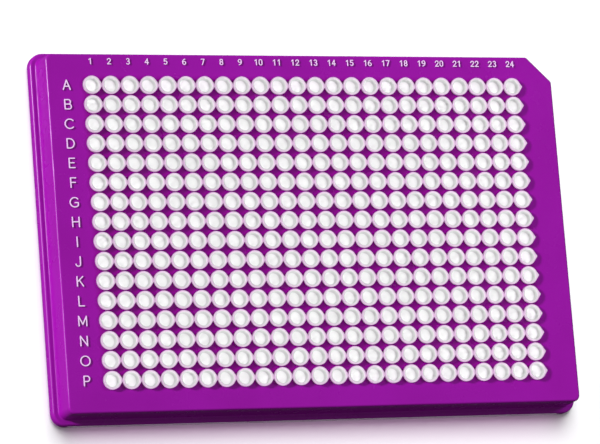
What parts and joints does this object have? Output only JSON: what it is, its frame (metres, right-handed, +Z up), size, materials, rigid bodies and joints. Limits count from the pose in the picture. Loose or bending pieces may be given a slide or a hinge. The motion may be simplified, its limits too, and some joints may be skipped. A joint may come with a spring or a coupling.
{
  "type": "well plate",
  "caption": "Skirted PCR plate: a rigid flanged purple frame with a cut corner, holding linked rows of white conical wells with raised rims.",
  "frame": {"origin": "on the standing plane under the middle of the well grid", "axes": "+X along a row from column 1 to column 24, +Y from row P to row A, +Z up out of the wells"},
  "size_m": [0.1278, 0.0854, 0.0097],
  "materials": {
    "frame_plastic": "smooth moulded, purple through",
    "well_plastic": "soft white, slightly translucent"
  },
  "bodies": {
    "root": {"frame": "frame_plastic", "well_row_a": "well_plastic", "well_row_b": "well_plastic", "well_row_c": "well_plastic", "well_row_d": "well_plastic", "well_row_e": "well_plastic", "well_row_f": "well_plastic", "well_row_g": "well_plastic", "well_row_h": "well_plastic", "well_row_i": "well_plastic", "well_row_j": "well_plastic", "well_row_k": "well_plastic", "well_row_l": "well_plastic", "well_row_m": "well_plastic", "well_row_n": "well_plastic", "well_row_o": "well_plastic", "well_row_p": "well_plastic"}
  },
  "joints": []
}
